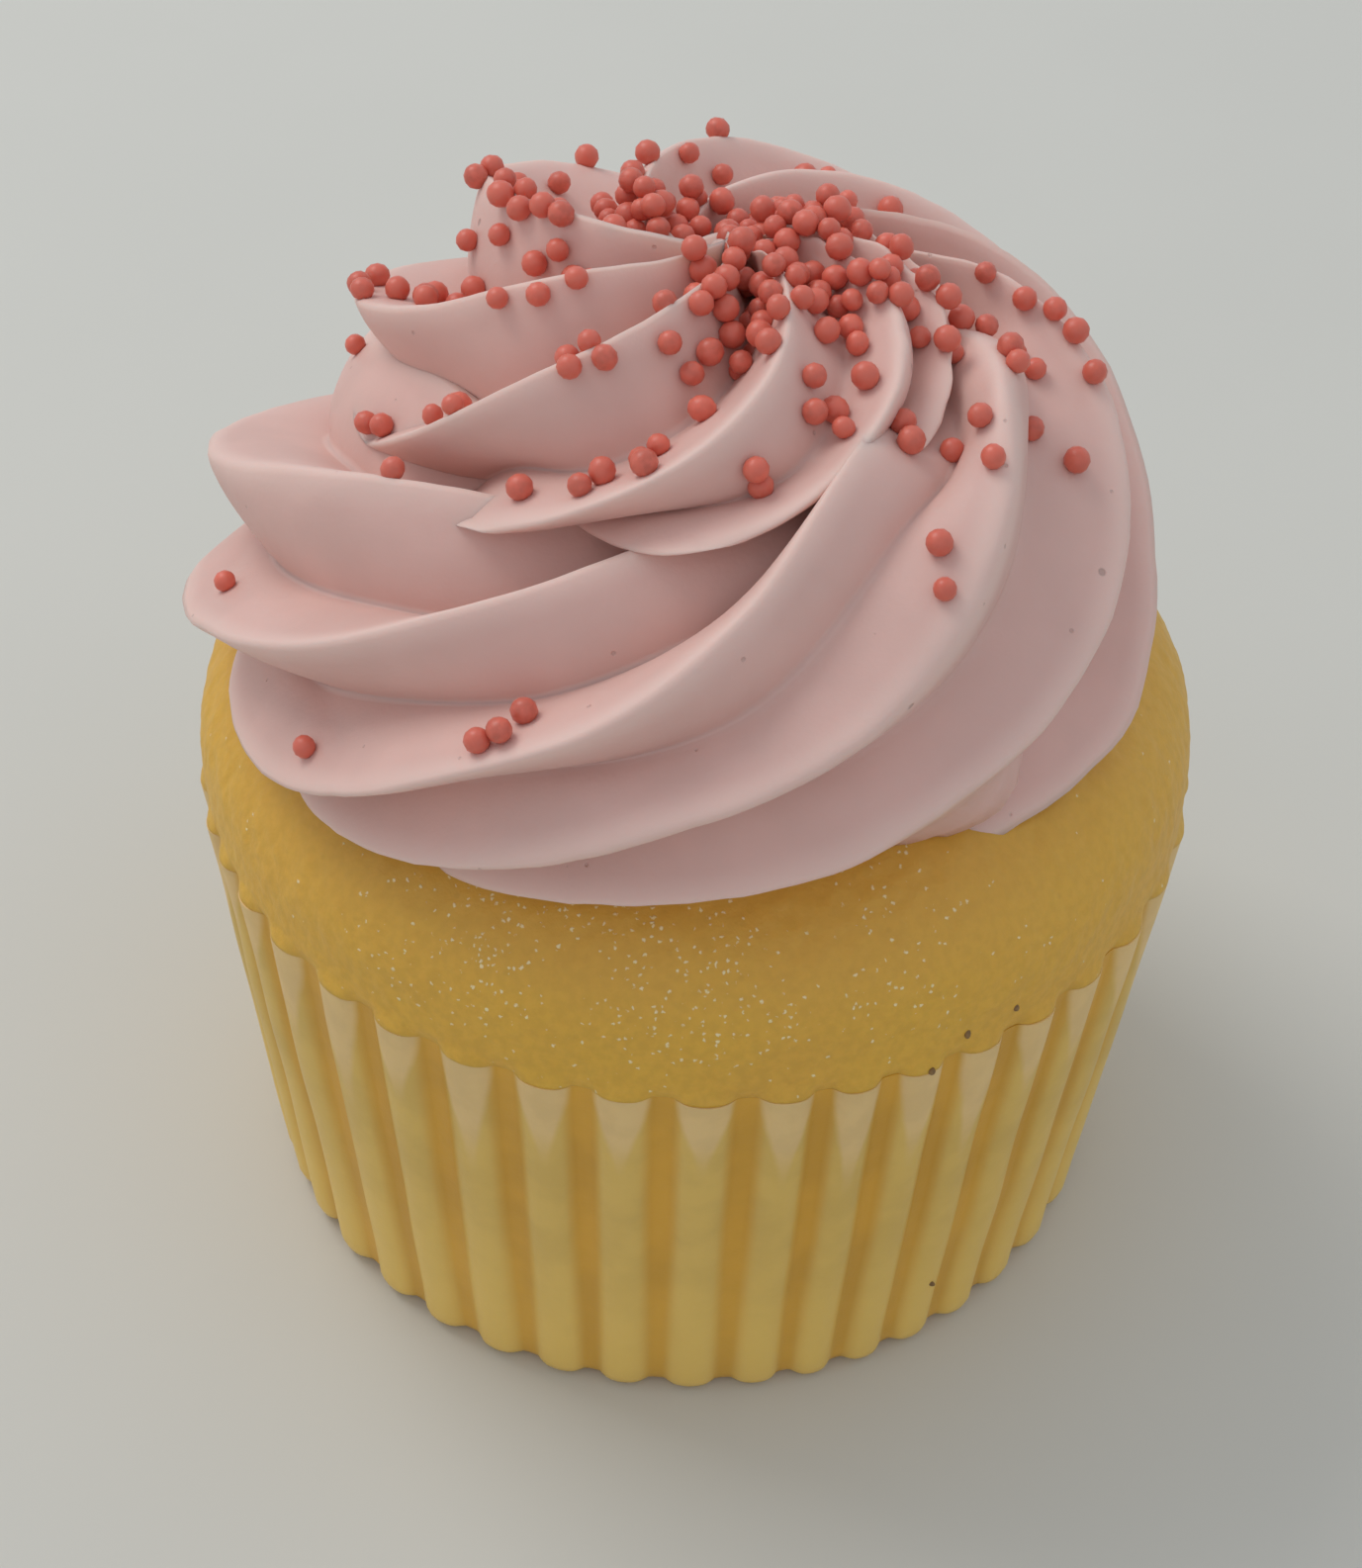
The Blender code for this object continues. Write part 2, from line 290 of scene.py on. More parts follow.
class CaseSettings(bpy.types.PropertyGroup):
    """Sizes and colours of the paper case."""

    height: length("Height", "Height of the rim", CASE_BOX[1][2])
    rim_radius: length("Rim radius", "Middle of the pleats at the rim", 0.0341)
    foot_radius: length("Foot radius", "Middle of the pleats at the foot", 0.0303)
    floor_radius: length("Floor radius", "Flat part of the floor", 0.0288)
    pleats: IntProperty(name="Pleats", description="Number of pleats round the case", default=42)
    thickness: length("Paper thickness", "Thickness of the paper", 0.00022)
    rim_depth: length("Pleat depth at the rim", "Half the depth of a pleat", 0.00044)
    foot_depth: length("Pleat depth at the foot", "Half the depth of a pleat", 0.00038)
    dry_length: length("Dry length", "How far down a ridge the paper has stayed free of oil", 0.0095)
    valley_colour: tint("Valley colour", "Oil-soaked paper against the cake", 0.76, 0.39, 0.042)
    ridge_colour: tint("Ridge colour", "Oil-soaked paper away from the cake", 0.78, 0.50, 0.125)
    dry_colour: tint("Dry colour", "Paper with no oil in it", 0.84, 0.56, 0.245)


class SpongeSettings(bpy.types.PropertyGroup):
    """Sizes and colours of the sponge."""

    rim_radius: length("Rim radius", "Widest part of the dome", 0.0341)
    spill: length("Spill", "How far the pleats show in the sponge above the rim", 0.0016)
    floor_radius: length("Floor radius", "Radius of the sponge's foot", 0.0284)
    cheek_height: length("Cheek height", "Where the dome begins", 0.0372)
    top_height: length("Top", "Height of the dome", CAKE_BOX[1][2])
    grain_depth: length("Grain depth", "Height of the crumb grain", 0.00005)
    crumb_colour: tint("Crumb colour", "Golden crumb", 0.73, 0.41, 0.050)
    baked_colour: tint("Baked colour", "Browner crumb", 0.70, 0.375, 0.056)
    # The glint colour is a painted highlight: pale spots painted on the crumb as glints of light
    painted_glint_colour: tint("Glint colour", "Moist sugar glints", 1.0, 0.89, 0.56)


class FrostingSettings(bpy.types.PropertyGroup):
    """Sizes and colours of the piped swirl."""

    tooth_depth: number("Tooth depth", "Depth of the star's teeth, as a share of the stations'", 1.12)
    tooth_lean: number("Tooth lean", "How far the crests lean upwards, as a share of their depth", 0.23)
    body_colour: tint("Body colour", "Pink cream", 0.757, 0.474, 0.414)
    # The crest colour is a painted highlight along the crests
    crest_highlight_colour: tint("Crest colour", "Thin, drier crests", 0.81, 0.565, 0.495)


class BeadSettings(bpy.types.PropertyGroup):
    """Sizes and colours of the sugar beads."""

    diameter: length("Diameter", "Mean diameter of a bead", 0.0016)
    heap: IntProperty(name="Heap", description="Beads heaped at the top of the swirl", default=260)
    colour: tint("Colour", "Coral red sugar", 0.71, 0.158, 0.105)


class StageSettings(bpy.types.PropertyGroup):
    """The floor, the light and the camera."""

    floor_colour: tint("Floor colour", "Pale table", 0.64, 0.62, 0.565)
    key_power: number("Key power", "Soft window light, in watts", 2.75)
    sky_strength: number("Sky strength", "Light from all round", 0.685)
    camera_elevation: FloatProperty(
        name="Camera elevation", description="Angle above the table", subtype="ANGLE",
        default=math.radians(44.0),
    )
    camera_distance: length("Camera distance", "From the middle of the case", 0.23)


# ---------------- numbers and meshes


def ease(value, first=0.0, last=1.0):
    """Rise from 0 at first to 1 at last, level at both ends: t * t * (3 - 2 t)."""
    t = np.clip((value - first) / (last - first), 0.0, 1.0)
    return t * t * (3 - 2 * t)


def smooth_track(places, values, wanted):
    """Read a smooth curve through stations: a cubic Hermite whose slopes join the neighbours."""
    slopes = np.gradient(values, places)
    index = np.clip(np.searchsorted(places, wanted) - 1, 0, len(places) - 2)
    span = places[index + 1] - places[index]
    t = np.clip((wanted - places[index]) / span, 0.0, 1.0)
    from_left = (1 + 2 * t) * (1 - t) ** 2 * values[index] + t * (1 - t) ** 2 * span * slopes[index]
    from_right = ease(t) * values[index + 1] - t * t * (1 - t) * span * slopes[index + 1]
    return from_left + from_right


def waves(points, wavelength, seed, count=24):
    """Smooth unevenness, about -1 to 1: the sum of sines of (k . point + phase), over random k.

    Each k points any way and is 2 pi over a length near the wavelength, so the field has no seam.
    """
    rng = np.random.default_rng(seed)
    ways = rng.normal(size=(count, 3))
    ways /= np.linalg.norm(ways, axis=1)[:, None]
    ways *= TAU / (wavelength * rng.uniform(0.7, 1.5, size=(count, 1)))
    phases = rng.uniform(0, TAU, size=count)
    total = np.zeros(points.shape[:-1])
    for way, phase in zip(ways, phases):
        total += np.sin(points @ way + phase)
    return total / math.sqrt(0.5 * count) * 0.5


def grid_faces(rows, columns):
    """Quads of a grid whose columns close round, plus a fan to a pole at each end."""
    ring = np.arange(columns)
    after = (ring + 1) % columns
    starts = columns * np.arange(rows)[:, None]
    here, beside = starts + ring, starts + after
    quads = np.stack([here[:-1], beside[:-1], beside[1:], here[1:]], axis=-1).reshape(-1, 4)
    pole = np.full(columns, rows * columns)
    first_fan = np.stack([pole, after, ring], axis=-1)
    last_fan = np.stack([pole + 1, here[-1], beside[-1]], axis=-1)
    return quads.tolist() + first_fan.tolist() + last_fan.tolist()


def new_mesh(name, points, faces, attributes):
    """Make a smooth mesh whose points carry the attributes."""
    mesh = bpy.data.meshes.new(name)
    mesh.from_pydata(points.tolist(), [], faces)
    for label, values in attributes.items():
        layer = mesh.attributes.new(label, "FLOAT", "POINT")
        layer.data.foreach_set("value", values.astype(np.float32))
    mesh.shade_smooth()
    mesh.update()
    return mesh


def with_poles(grid):
    """List a grid's points row by row, then the means of its first and last row."""
    ends = np.stack([grid[0].mean(axis=0), grid[-1].mean(axis=0)])
    return np.concatenate([grid.reshape(-1, *grid.shape[2:]), ends])


def mesh_from_grid(name, grid, attributes):
    """Skin a grid of points, rows by columns, into one closed mesh with a pole at each end."""
    values = {label: with_poles(mask) for label, mask in attributes.items()}
    return new_mesh(name, with_poles(grid), grid_faces(*grid.shape[:2]), values)


def add_piece(mesh, material, replaced=None):
    """Put a mesh in the scene as a piece of the cupcake, under the mesh's own name."""
    piece = bpy.data.objects.new(mesh.name, mesh)
    bpy.context.scene.collection.objects.link(piece)
    piece.data.materials.append(material)
    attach(piece, BODY)
    if replaced:
        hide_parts(replaced)
    return piece


def ray_tree(name):
    """A search tree of a finished piece, for laying small things on it."""
    mesh = bpy.data.objects[name].data
    return BVHTree.FromPolygons([v.co for v in mesh.vertices], [p.vertices for p in mesh.polygons])


# ---------------- shader groups and materials


def add_node(tree, kind, inputs, **options):
    """Add a shader node, set its options, and give each listed input a constant or a link."""
    node = tree.nodes.new("ShaderNode" + kind)
    for name, value in options.items():
        setattr(node, name, value)
    for label, value in inputs.items():
        if isinstance(value, bpy.types.NodeSocket):
            tree.links.new(value, node.inputs[label])
        else:
            node.inputs[label].default_value = value
    return node


def add_math(tree, operation, first, second):
    """Add a Math node; each operand is a number or a socket."""
    return add_node(tree, "Math", {0: first, 1: second}, operation=operation).outputs[0]


def add_product(tree, *factors):
    """Multiply several numbers or sockets."""
    product = factors[0]
    for factor in factors[1:]:
        product = add_math(tree, "MULTIPLY", product, factor)
    return product


def add_noise(tree, vector, scale, detail=2.0, output="Fac"):
    """Add a Noise texture."""
    return add_node(tree, "TexNoise", {"Vector": vector, "Scale": scale, "Detail": detail}).outputs[output]


def add_ramp(tree, value, low, high, to_low=0.0, to_high=1.0):
    """Add a smooth Map Range from low..high to to_low..to_high."""
    inputs = {"Value": value, "From Min": low, "From Max": high, "To Min": to_low, "To Max": to_high}
    return add_node(tree, "MapRange", inputs, interpolation_type="SMOOTHSTEP").outputs["Result"]


def add_mix(tree, factor, first, second):
    """Add a colour Mix node; each colour is a tuple or a socket."""
    inputs = {"Factor": factor, MIX_FIRST: first, MIX_SECOND: second}
    return add_node(tree, "Mix", inputs, data_type="RGBA").outputs[MIX_RESULT]


def mottle(group, given):
    """Wander between two colours with a cloudy noise."""
    noise = add_noise(group, given["Vector"], given["Scale"], 3.0)
    share = add_ramp(group, noise, given["Low"], given["High"])
    return add_mix(group, share, given["First"], given["Second"])


def relief(group, given):
    """Add a fine noise to a coarse one, for a height."""
    fine = add_product(group, add_noise(group, given["Vector"], given["Fine"]), given["Share"])
    return add_math(group, "ADD", add_noise(group, given["Vector"], given["Coarse"]), fine)


def spots(group, given):
    """Mask small scattered spots: a cell holds one only where its own number is low."""
    cells = add_node(group, "TexVoronoi", {"Vector": given["Vector"], "Scale": given["Scale"]})
    half = add_product(group, given["Size"], 0.5)
    spot = add_ramp(group, cells.outputs["Distance"], half, given["Size"], 1.0, 0.0)
    split = add_node(group, "SeparateColor", {"Color": cells.outputs["Color"]})
    return add_product(group, spot, add_math(group, "LESS_THAN", split.outputs[0], given["Chance"]))


# The shader groups: what wires each, the kind of its output, and its inputs beside the place
MOTTLE_INPUTS = {"First": WHITE, "Second": BLACK, "Scale": 200, "Low": 0.35, "High": 0.65}
GROUPS = {
    "Mottled colour": (mottle, "Color", MOTTLE_INPUTS),
    "Two-scale relief": (relief, "Float", {"Coarse": 500, "Fine": 2500, "Share": 0.5}),
    "Scattered spots": (spots, "Float", {"Scale": 300, "Size": 0.12, "Chance": 0.1}),
}


def shared_group(name):
    """Find a shader group, or make it when it is first asked for."""
    if name in bpy.data.node_groups:
        return bpy.data.node_groups[name]
    build, output_kind, inputs = GROUPS[name]
    group = bpy.data.node_groups.new(name, "ShaderNodeTree")
    group.interface.new_socket(name="Vector", in_out="INPUT", socket_type="NodeSocketVector")
    for label, default in inputs.items():
        kind = "NodeSocketColor" if isinstance(default, tuple) else "NodeSocketFloat"
        group.interface.new_socket(name=label, in_out="INPUT", socket_type=kind).default_value = default
    group.interface.new_socket(name="Result", in_out="OUTPUT", socket_type="NodeSocket" + output_kind)
    start, end = group.nodes.new("NodeGroupInput"), group.nodes.new("NodeGroupOutput")
    group.links.new(build(group, start.outputs), end.inputs["Result"])
    return group


def place_group(tree, name, vector, **values):
    """Place a shader group in a material with its own values."""
    return add_node(tree, "Group", {"Vector": vector, **values}, node_tree=shared_group(name)).outputs[0]


def mottled(tree, place, first, second, scale, **limits):
    """Place the mottled colour in a material, between two colours."""
    return place_group(tree, "Mottled colour", place, First=first, Second=second, Scale=scale, **limits)


def new_material(name, roughness, specular=0.5, weight=0.0, radius=(1, 1, 1), scale=1 * MM):
    """Start a Principled material and its Object coordinates; the last three are its subsurface."""
    material = bpy.data.materials.new(name)
    material.use_nodes = True
    tree = material.node_tree
    shader = tree.nodes["Principled BSDF"]
    shader.inputs["Roughness"].default_value = roughness
    shader.inputs["Specular IOR Level"].default_value = specular
    for label, value in (("Weight", weight), ("Radius", radius), ("Scale", scale)):
        shader.inputs["Subsurface " + label].default_value = value
    return material, tree, shader, add_node(tree, "TexCoord", {}).outputs["Object"]


def attribute(tree, name):
    """Read a number that the mesh carries."""
    return add_node(tree, "Attribute", {}, attribute_name=name).outputs["Fac"]


def add_relief(tree, shader, place, values, lift=0.0):
    """Bump the shader's normal with the two-scale relief and a lift."""
    coarse, fine, share, distance, strength = values
    rough = place_group(tree, "Two-scale relief", place, Coarse=coarse, Fine=fine, Share=share)
    height = add_math(tree, "ADD", rough, lift)
    bump = add_node(tree, "Bump", {"Height": height, "Distance": distance, "Strength": strength})
    tree.links.new(bump.outputs["Normal"], shader.inputs["Normal"])


def rgba(colour, gain=1.0):
    """A colour property as four numbers, made lighter or darker by the gain."""
    return (*(min(c * gain, 1.0) for c in colour), 1.0)


def paper_material(settings):
    """Greaseproof paper: golden where oil has soaked it, pale in a patch at the top of each ridge."""
    material, tree, shader, place = new_material("oiled_paper_finish", *PAPER_FINISH)
    off_ridge = attribute(tree, "off_ridge")
    below_rim = attribute(tree, "below_rim")
    valley = mottled(tree, place, rgba(settings.valley_colour), rgba(settings.valley_colour, 0.86), 140.0)
    ridge = mottled(tree, place, rgba(settings.ridge_colour), rgba(settings.ridge_colour, 0.9), 220.0)
    soaked = add_mix(tree, add_ramp(tree, off_ridge, *RIDGE_EDGE), valley, ridge)
    low = add_ramp(tree, below_rim, *PALER_BELOW)
    paler = add_mix(tree, low, soaked, rgba(settings.ridge_colour, 1.2))
    paler = add_mix(tree, add_ramp(tree, off_ridge, *PALER_ACROSS), soaked, paler)
    wander = add_product(tree, add_noise(tree, place, 500.0), PATCH_WANDER)
    along = add_math(tree, "DIVIDE", below_rim, attribute(tree, "dry_depth"))
    edge = add_math(tree, "SUBTRACT", add_ramp(tree, along, *PATCH_WIDTHS), off_ridge)
    edge = add_math(tree, "ADD", edge, wander)
    dry = add_product(tree, add_ramp(tree, edge, *PATCH_EDGE), add_ramp(tree, along, *PATCH_TIP))
    pale = mottled(tree, place, rgba(settings.dry_colour), rgba(settings.dry_colour, 0.93), 400.0)
    tree.links.new(add_mix(tree, dry, paler, pale), shader.inputs["Base Color"])
    tree.links.new(add_ramp(tree, dry, *DRY_ROUGHNESS), shader.inputs["Roughness"])
    add_relief(tree, shader, place, PAPER_RELIEF)
    return material


def glint_chance(tree, place, spot):
    """Chance of a painted glint highlight: highest at the front, in the middle and high up, in cloudy
    patches.
    """
    patches = add_noise(tree, place, 130.0)
    aside = add_math(tree, "ABSOLUTE", add_math(tree, "ADD", spot.outputs["X"], GLINT_OFFSET), 0.0)
    painted_glint_chance = add_product(
        tree,
        add_ramp(tree, spot.outputs["Y"], *GLINT_DEPTHS),
        add_ramp(tree, aside, *GLINT_WIDTHS),
        add_ramp(tree, spot.outputs["Z"], *GLINT_HEIGHTS),
        add_ramp(tree, patches, *GLINT_PATCHES),
        MOST_GLINTS,
    )
    return add_math(tree, "ADD", painted_glint_chance, LEAST_GLINTS)


def sponge_material(settings):
    """Moist yellow sponge: cloudy golden crumb, small pore holes darkened with painted shade, and pale
    spots of painted glint highlight.
    """
    material, tree, shader, place = new_material("moist_sponge", *SPONGE_FINISH)
    crumb, baked = settings.crumb_colour, settings.baked_colour
    broad = mottled(tree, place, rgba(crumb), rgba(baked), 90.0)
    grain = mottled(tree, place, rgba(crumb, 1.06), rgba(crumb, 0.86), 1500.0, Low=0.3, High=0.7)
    colour = add_mix(tree, 0.5, broad, grain)
    spot = add_node(tree, "SeparateXYZ", {"Vector": place})
    browner_up = add_ramp(tree, spot.outputs["Z"], *BROWNER_UPWARDS)
    colour = add_mix(tree, browner_up, colour, rgba(baked))
    pore_shade = place_group(tree, "Scattered spots", place, Scale=900.0, Size=0.25, Chance=0.10)
    # Painted shade: the pore spots are darkened towards a deeper brown
    colour = add_mix(tree, add_product(tree, pore_shade, 0.12), colour, rgba(baked, 0.6))
    bend = {0: add_noise(tree, place, 3500.0, output="Color"), 1: GLINT_BEND, 2: place}
    bent = add_node(tree, "VectorMath", bend, operation="MULTIPLY_ADD")
    chance = glint_chance(tree, place, spot)
    glints = place_group(tree, "Scattered spots", bent.outputs[0], Scale=2300.0, Size=0.34, Chance=chance)
    # Painted highlight: the pale glint colour is mixed into the crumb in the glint spots
    colour = add_mix(tree, add_product(tree, glints, 0.65), colour, rgba(settings.painted_glint_colour))
    tree.links.new(colour, shader.inputs["Base Color"])
    tree.links.new(add_ramp(tree, glints, *GLINT_ROUGHNESS), shader.inputs["Roughness"])
    add_relief(tree, shader, place, SPONGE_RELIEF, glints)
    return material


def frosting_material(settings):
    """Satin pink cream: a painted highlight along the crests, fine grain, and a few air holes darkened with
    painted shade.
    """
    material, tree, shader, place = new_material("satin_cream", *CREAM_FINISH)
    body = mottled(tree, place, rgba(settings.body_colour), rgba(settings.body_colour, 0.94), 120.0)
    # Painted highlight: the crests are lightened towards the crest colour
    crest_highlight_share = add_ramp(tree, attribute(tree, "crest"), *CREST_HIGHLIGHT_EDGE)
    colour = add_mix(tree, crest_highlight_share, body, rgba(settings.crest_highlight_colour))
    holes = place_group(tree, "Scattered spots", place, Scale=330.0, Size=0.10, Chance=0.10)
    small_holes = place_group(tree, "Scattered spots", place, Scale=800.0, Size=0.14, Chance=0.05)
    holes = add_math(tree, "MAXIMUM", holes, add_product(tree, small_holes, SMALL_HOLE_SHARE))
    # Painted shade: the holes are darkened towards a deep pink
    colour = add_mix(tree, add_product(tree, holes, HOLE_SHADE), colour, rgba(settings.body_colour, 0.45))
    tree.links.new(colour, shader.inputs["Base Color"])
    add_relief(tree, shader, place, CREAM_RELIEF, add_product(tree, holes, HOLE_DEPTH))
    return material


def bead_material(settings):
    """Coral sugar beads: satin shells, each with its own depth of colour."""
    material, tree, shader, place = new_material("coral_sugar", *BEAD_FINISH)
    base = add_mix(tree, attribute(tree, "tone"), rgba(settings.colour, 0.82), rgba(settings.colour, 1.12))
    tree.links.new(mottled(tree, place, base, rgba(settings.colour), 1500.0), shader.inputs["Base Color"])
    add_relief(tree, shader, place, BEAD_RELIEF)
    return material


def crumb_material():
    """Dark baked crumbs."""
    material, tree, shader, place = new_material("dark_crumb", 0.6)
    colour = mottled(tree, place, (0.17, 0.09, 0.03, 1.0), (0.27, 0.15, 0.05, 1.0), 2500.0)
    tree.links.new(colour, shader.inputs["Base Color"])
    return material


# ---------------- shapes


def pleat_columns(settings):
    """Azimuth, distance from the ridge, reach of the pleat and length of the dry patch, column by column.

    Reach is the wave given by PLEAT_PLACES and PLEAT_REACHES, each ridge a little higher or lower.
    """
    rng = np.random.default_rng(11)
    front = np.array(FRONT_RIDGES)
    count = settings.pleats
    rest = count - len(front)
    gap = (360.0 + front[0] - front[-1]) / (rest + 1)
    behind = front[-1] + gap * np.arange(1, rest + 1) + rng.uniform(-0.6, 0.6, rest)
    middles = np.radians(np.concatenate([front, behind]) - 90.0)
    nexts = np.append(middles[1:], middles[0] + TAU)
    across = np.arange(COLUMNS_PER_PLEAT) / COLUMNS_PER_PLEAT
    azimuth = (middles[:, None] + across * (nexts - middles)[:, None]).ravel()
    off_ridge = np.tile(np.minimum(across, 1 - across), count)
    pleat = np.interp(off_ridge, PLEAT_PLACES, PLEAT_REACHES)
    nearest = (np.arange(count)[:, None] + (across > 0.5)) % count
    depth_share = rng.uniform(0.88, 1.08, count)[nearest].ravel()
    dry_depth = (settings.dry_length * rng.uniform(0.75, 1.3, count))[nearest].ravel()
    return azimuth, off_ridge, np.where(pleat > 0, depth_share, 1.0) * pleat, dry_depth


def paper_reach(settings, height, pleat):
    """Reach of the outer skin: radius(height) + depth(height) * pleat, both straight from foot to rim."""
    rise = height / settings.height
    radius = settings.foot_radius + (settings.rim_radius - settings.foot_radius) * rise
    depth = settings.foot_depth + (settings.rim_depth - settings.foot_depth) * rise
    return radius[:, None] + depth[:, None] * pleat


def ring_points(reach, angle, tall):
    """Points at a distance from the axis, an angle round it and a height."""
    return np.stack([reach * np.cos(angle), reach * np.sin(angle), tall], axis=-1)


def case_grid(settings):
    """The paper case as one closed skin, rows by columns.

    The outer skin stands at paper_reach and curls under at the foot; the inner skin is the same,
    nearer by the thickness.
    """
    azimuth, off_ridge, pleat, dry_depth = pleat_columns(settings)
    rise = np.concatenate([FOOT_RISES, np.linspace(WALL_FROM, 1.0, WALL_ROWS)])
    height = rise * settings.height
    outer = paper_reach(settings, height, pleat)
    outer[0] = settings.floor_radius * 0.5
    outer[1] = settings.floor_radius
    outer[2:4] -= np.array(FOOT_CURLS)[:, None]
    tall = np.repeat(height[:, None], len(azimuth), axis=1)
    crumple = waves(ring_points(outer, azimuth, tall), CRUMPLE_LENGTH, 3) * CRUMPLE_DEPTH
    outer = outer + crumple * np.clip(rise / 0.1, 0, 1)[:, None]
    inner = outer - settings.thickness
    inner_tall = tall.copy()
    inner_tall[: len(FOOT_RISES)] += settings.thickness
    tall = np.concatenate([tall, inner_tall[::-1]])
    masks = {
        "off_ridge": np.tile(off_ridge, (len(tall), 1)),
        "below_rim": settings.height - tall,
        "dry_depth": np.tile(dry_depth, (len(tall), 1)),
    }
    return ring_points(np.concatenate([outer, inner[::-1]]), azimuth, tall), masks


def dome_height(reach, settings):
    """Height of the dome at a radius: cheek + rise * (1 - (radius / rim) ** power) ** (1 / power)."""
    share = np.clip(reach / settings.rim_radius, 0.0, 1.0)
    rise = settings.top_height - settings.cheek_height
    return settings.cheek_height + rise * (1 - share**DOME_POWER) ** (1 / DOME_POWER)


def sponge_grid(settings, case):
    """The sponge, rows by columns: a superellipse dome over a wall that fills the pleats of the paper.

    Above the rim the wall's pleats fade out into the round dome over the spill.
    """
    azimuth, _, pleat, _ = pleat_columns(case)
    angles = np.radians(DOME_ANGLES)
    dome_reach = settings.rim_radius * np.sin(angles) ** (2 / DOME_POWER)
    dome_rise = settings.top_height - settings.cheek_height
    dome = settings.cheek_height + dome_rise * np.cos(angles) ** (2 / DOME_POWER)
    rim = case.height
    cheek = np.linspace(settings.cheek_height - CHEEK_DROP, rim - RIM_DROPS[0], CHEEK_ROWS)
    wall = np.concatenate([cheek, np.linspace(rim - RIM_DROPS[1], WALL_BOTTOM, LOW_ROWS)])
    over_edge = ease((wall - rim) / PAPER_COVER + 0.8)[:, None]
    inside_paper = paper_reach(case, wall, pleat) - (case.thickness + PAPER_GAP) * (1.0 - over_edge)
    spilled = ease((wall - rim) / settings.spill + 0.15)[:, None]
    wall_reach = inside_paper + (settings.rim_radius - inside_paper) * spilled
    foot_reach = np.full((1, len(azimuth)), settings.floor_radius - FOOT_ROUNDING)
    reach = np.concatenate([np.repeat(dome_reach[:, None], len(azimuth), axis=1), wall_reach, foot_reach])
    height = np.concatenate([dome, wall, [FOOT_HEIGHT]])
    tall = np.repeat(height[:, None], len(azimuth), axis=1)
    grid = ring_points(reach, azimuth, tall)
    slope = np.clip((tall - LIFT_TURNS_FROM) / LIFT_TURNS_OVER, 0, 1)
    out = ring_points(np.ones_like(tall), azimuth, slope)
    out /= np.linalg.norm(out, axis=-1)[..., None]
    free = ease((height - rim) / FREE_OVER)[:, None]
    lift = waves(grid, SWELLS[0], 5) * SWELLS[1] * MM
    lift += waves(grid, GRAIN_LENGTHS[0], 6, 40) * settings.grain_depth
    lift += waves(grid, GRAIN_LENGTHS[1], 7, 40) * settings.grain_depth * 0.8
    return grid + out * ((lift - LIFT_MEAN) * free)[..., None]


def star_columns():
    """List the points round the star: azimuth in each turn, depth below the crests, and trail shares.

    From crest to groove to crest the depth falls and rises straight, eased by a quarter sine towards
    the groove. A hyperbola through 0 at the crest and 1 in the groove then rounds off the crest. The
    shares below the waist ease from crest to groove to crest, and those above it from crest to crest.
    """
    teeth = np.array(TEETH)
    places, below, groove_below, above, roundness, groove = np.split(teeth, (2, 3, 4, 6, 7), axis=1)
    after = np.roll(teeth, -1, axis=0)
    x = np.arange(POINTS_PER_TOOTH) / POINTS_PER_TOOTH
    x = x - CROWDING * np.sin(TAU * x) / math.pi
    gaps = np.mod(after[:, :2] - places, 360.0)
    falling = x < groove
    fall = np.where(falling, x / groove, (1 - x) / (1 - groove))
    fall = fall + TOOTH_ROUNDNESS * (np.sin(0.5 * math.pi * fall) - fall)
    roundness = np.where(falling, roundness, np.roll(roundness, -1, axis=0))
    fall = (np.hypot(fall, roundness) - roundness) / (np.hypot(1.0, roundness) - roundness)
    fall = fall * np.clip(gaps[:, :1] * len(TEETH) / 360.0, *DEPTH_SCALES)
    share_below = below + (groove_below - below) * ease(2 * x)
    share_below = share_below + (after[:, 2:3] - groove_below) * ease(2 * x - 1)
    azimuths = places[..., None] + gaps[..., None] * x
    shares = above[..., None] + (after[:, 4:6] - above)[..., None] * ease(x)
    columns = (azimuths[:, 0], azimuths[:, 1], fall, share_below, shares[:, 0], shares[:, 1])
    return np.stack([column.ravel() for column in columns])


def section_angles(azimuths, columns):
    """Find the angle round the section at which each column of the star crosses each azimuth."""
    places, values = np.array(TRAIL, float).T
    angles = np.linspace(places[0], places[-1], TRAIL_STEPS)
    full_trail = smooth_track(places, values, angles)
    below = ease(angles, *LOW_SHARE_ANGLES) * (angles < 0.0)
    above = ease(angles, *HIGH_SHARE_ANGLES) * (angles > 0.0)
    turned = ease(azimuths, *TURN_CHANGE_AZIMUTHS)
    crossings = []
    for lower, upper, _, share_below, share_above, share_upper in columns.T:
        lags = []
        for tooth, share in ((lower, share_above), (upper, share_upper)):
            trailed = full_trail * (1 - (1 - share_below) * below - (1 - share) * above)
            lag = (azimuths - tooth - trailed[0]) % 360.0 + trailed[0]
            lags.append(np.interp(lag, trailed, angles))
        step = (lags[1] - lags[0] + 180.0) % 360.0 - 180.0
        crossings.append(lags[0] + step * turned)
    return np.radians(np.array(crossings).T)


def cut_depths(degrees, azimuths, teeth, falls):
    """How deep each point of the rope lies below its crest, in shares of the depth of the teeth.

    The fold lifts one groove below the waist. In the upper turn the crests fall to the grooves' depth
    between the tuck angles.
    """
    fold_place, fold_width, fold_height = FOLD
    fold = fold_height * np.exp(-(((teeth - fold_place) / fold_width) ** 2))
    fold = fold * ease(degrees, *FOLD_ANGLES) * (degrees > FOLD_END)
    tucked = ease(degrees, *TUCK_ANGLES) * (degrees > -90.0) * ease(azimuths, *TUCK_AZIMUTHS)
    return falls - fold + (1.0 - falls) * tucked


